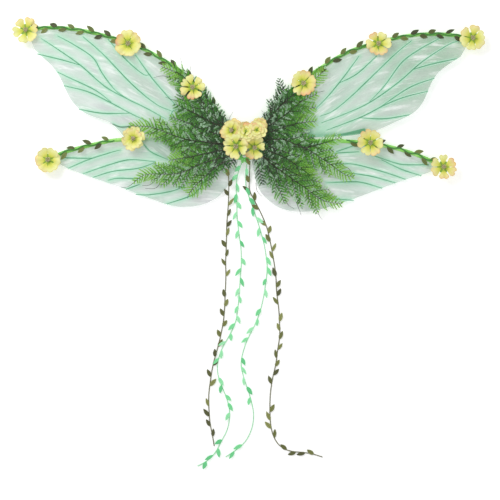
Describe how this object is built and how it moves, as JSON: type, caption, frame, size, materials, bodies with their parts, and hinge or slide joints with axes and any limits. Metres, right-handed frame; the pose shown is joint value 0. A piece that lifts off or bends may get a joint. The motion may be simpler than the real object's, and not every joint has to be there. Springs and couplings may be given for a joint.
{
  "type": "fairy wings",
  "caption": "Costume fairy wings: translucent veined film on taped wire frames, with flowers, fern fronds, leaf garlands and trailing vines.",
  "frame": {"origin": "middle of the back pad's face that rests on the wearer's back", "axes": "+X across the span, to the pictured right; +Y towards the wearer's head; +Z away from the back, out of the decorated side"},
  "size_m": [0.9376, 0.8953, 0.0392],
  "materials": {
    "felt": "matte needled felt",
    "stiff_plate": "satin moulded",
    "rivet": "worn plated",
    "green_tape": "crepe floral tape, wound",
    "wing_film": "thin pearly iridescent film with flocked veins",
    "elastic": "knitted elastic",
    "petal": "pressed silk-flower fabric, dyed edges",
    "fern": "moulded fern, dusted",
    "garland_leaf": "pressed ribbon leaf",
    "olive_stem": "twisted cord",
    "olive_leaf": "pressed ribbon leaf",
    "mint_stem": "twisted cord",
    "mint_leaf": "pressed ribbon leaf",
    "slider_plastic": "moulded"
  },
  "bodies": {
    "harness": {"back_pad": "felt", "back_plate": "stiff_plate", "wire_clamp_plate": "stiff_plate", "clamp_rivets": "rivet", "wire_stubs": "green_tape", "lower_left_film_root": "wing_film", "lower_right_film_root": "wing_film", "left_shoulder_strap": "elastic", "right_shoulder_strap": "elastic", "center_flower_1": "petal", "center_flower_2": "petal", "center_flower_3": "petal", "center_flower_4": "petal", "center_flower_5": "petal", "center_flower_6": "petal", "fern_root_sprig": "fern", "vine_knot": "mint_leaf", "vine_olive_left": "olive_stem", "vine_leaves_olive_left": "olive_leaf", "vine_olive_right": "olive_stem", "vine_leaves_olive_right": "olive_leaf", "vine_green_left": "mint_stem", "vine_leaves_green_left": "mint_leaf", "vine_green_right": "mint_stem", "vine_leaves_green_right": "mint_leaf"},
    "left_slider": {"left_strap_slider": "slider_plastic"},
    "right_slider": {"right_strap_slider": "slider_plastic"},
    "upper_left_wing": {"upper_left_frame_wire": "green_tape", "upper_left_film": "wing_film", "upper_left_leaf_garland": "garland_leaf", "upper_left_tip_flower": "petal", "upper_left_mid_flower": "petal", "upper_left_inner_flower": "petal", "fern_left_upper": "fern", "fern_left_middle": "fern", "fern_left_side": "fern"},
    "lower_left_wing": {"lower_left_frame_wire": "green_tape", "lower_left_film": "wing_film", "lower_left_leaf_garland": "garland_leaf", "lower_left_tip_flower": "petal", "lower_left_mid_flower": "petal", "fern_left_lower": "fern"},
    "upper_right_wing": {"upper_right_frame_wire": "green_tape", "upper_right_film": "wing_film", "upper_right_leaf_garland": "garland_leaf", "upper_right_tip_flower": "petal", "upper_right_mid_flower": "petal", "upper_right_inner_flower": "petal", "fern_right_upper": "fern", "fern_right_middle": "fern"},
    "lower_right_wing": {"lower_right_frame_wire": "green_tape", "lower_right_film": "wing_film", "lower_right_leaf_garland": "garland_leaf", "lower_right_tip_flower": "petal", "lower_right_mid_flower": "petal", "fern_right_side": "fern", "fern_right_lower": "fern", "fern_right_edge": "fern", "fern_right_bright": "fern"}
  },
  "joints": [
    {"name": "upper_left_fold", "type": "hinge", "parent": "harness", "child": "upper_left_wing", "pos_m": [-0.056, 0, 0.0118], "axis": [0, 1, 0], "range_deg": [0, 60]},
    {"name": "upper_right_fold", "type": "hinge", "parent": "harness", "child": "upper_right_wing", "pos_m": [0.056, 0, 0.0118], "axis": [0, -1, 0], "range_deg": [0, 60]},
    {"name": "lower_left_fold", "type": "hinge", "parent": "harness", "child": "lower_left_wing", "pos_m": [-0.056, 0, 0.0118], "axis": [0, 1, 0], "range_deg": [0, 60]},
    {"name": "lower_right_fold", "type": "hinge", "parent": "harness", "child": "lower_right_wing", "pos_m": [0.056, 0, 0.0118], "axis": [0, -1, 0], "range_deg": [0, 60]},
    {"name": "left_strap_adjust", "type": "slide", "parent": "harness", "child": "left_slider", "axis": [1, 0, 0], "range_m": [-0.014, 0.014]},
    {"name": "right_strap_adjust", "type": "slide", "parent": "harness", "child": "right_slider", "axis": [1, 0, 0], "range_m": [-0.014, 0.014]}
  ],
  "couplings": [
    {"joint": "lower_left_fold", "follows": "upper_left_fold", "ratio": 1},
    {"joint": "lower_right_fold", "follows": "upper_right_fold", "ratio": 1}
  ]
}
